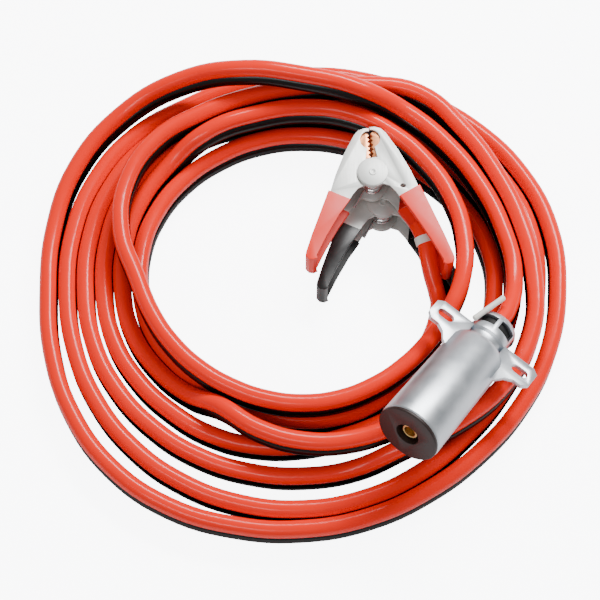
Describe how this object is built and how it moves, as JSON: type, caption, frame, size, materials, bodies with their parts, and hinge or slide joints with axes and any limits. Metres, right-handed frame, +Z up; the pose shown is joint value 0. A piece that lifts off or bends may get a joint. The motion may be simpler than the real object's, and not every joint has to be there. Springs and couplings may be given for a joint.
{
  "type": "aircraft jumper cable",
  "caption": "Coiled red and black twin jumper cable with a round aluminium aircraft plug at one end and spring battery clamps at the other.",
  "frame": {"origin": "on the floor under the middle of the plug and the two clamps together", "axes": "+Z up from the floor that the coil lies on, +Y the way the clamps' jaws point, +X to the right of it"},
  "size_m": [0.401, 0.3872, 0.1095],
  "materials": {
    "red_cable_pvc": "glossy",
    "black_cable_pvc": "glossy",
    "cast_aluminium": "satin, turned and lightly scratched",
    "brown_insulator": "moulded, satin",
    "brass_contact": "satin",
    "white_nylon": "satin",
    "plated_steel": "zinc plated, lightly scratched",
    "spring_steel": "bright plated",
    "copper": "copper plated, satin",
    "red_grip_vinyl": "dipped vinyl, half gloss",
    "black_grip_vinyl": "dipped vinyl, half gloss"
  },
  "bodies": {
    "root": {"cable_red": "red_cable_pvc", "cable_black": "black_cable_pvc", "plug_shell": "cast_aluminium", "plug_insulator": "brown_insulator", "plug_contact": "brass_contact", "neck_tie_rod": "white_nylon", "black_fixed_half": "plated_steel", "black_fixed_grip": "black_grip_vinyl", "black_fixed_liner": "copper", "black_rivet": "plated_steel", "black_spring": "spring_steel", "red_fixed_half": "plated_steel", "red_fixed_grip": "red_grip_vinyl", "red_fixed_liner": "copper", "red_rivet": "plated_steel", "red_spring": "spring_steel"},
    "black_jaw": {"black_moving_half": "plated_steel", "black_moving_grip": "black_grip_vinyl", "black_moving_liner": "copper"},
    "red_jaw": {"red_moving_half": "plated_steel", "red_moving_grip": "red_grip_vinyl", "red_moving_liner": "copper"}
  },
  "joints": [
    {"name": "black_clamp_pivot", "type": "hinge", "parent": "root", "child": "black_jaw", "pos_m": [-0.0239, 0.08665, 0.015], "axis": [0, 0, 1], "range_deg": [0, 30], "stiffness_Nm_per_rad": 2, "springref_deg": -22.92},
    {"name": "red_clamp_pivot", "type": "hinge", "parent": "root", "child": "red_jaw", "pos_m": [-0.0323, 0.09785, 0.0453], "axis": [0, 0, 1], "range_deg": [0, 30], "stiffness_Nm_per_rad": 2, "springref_deg": -22.92}
  ]
}
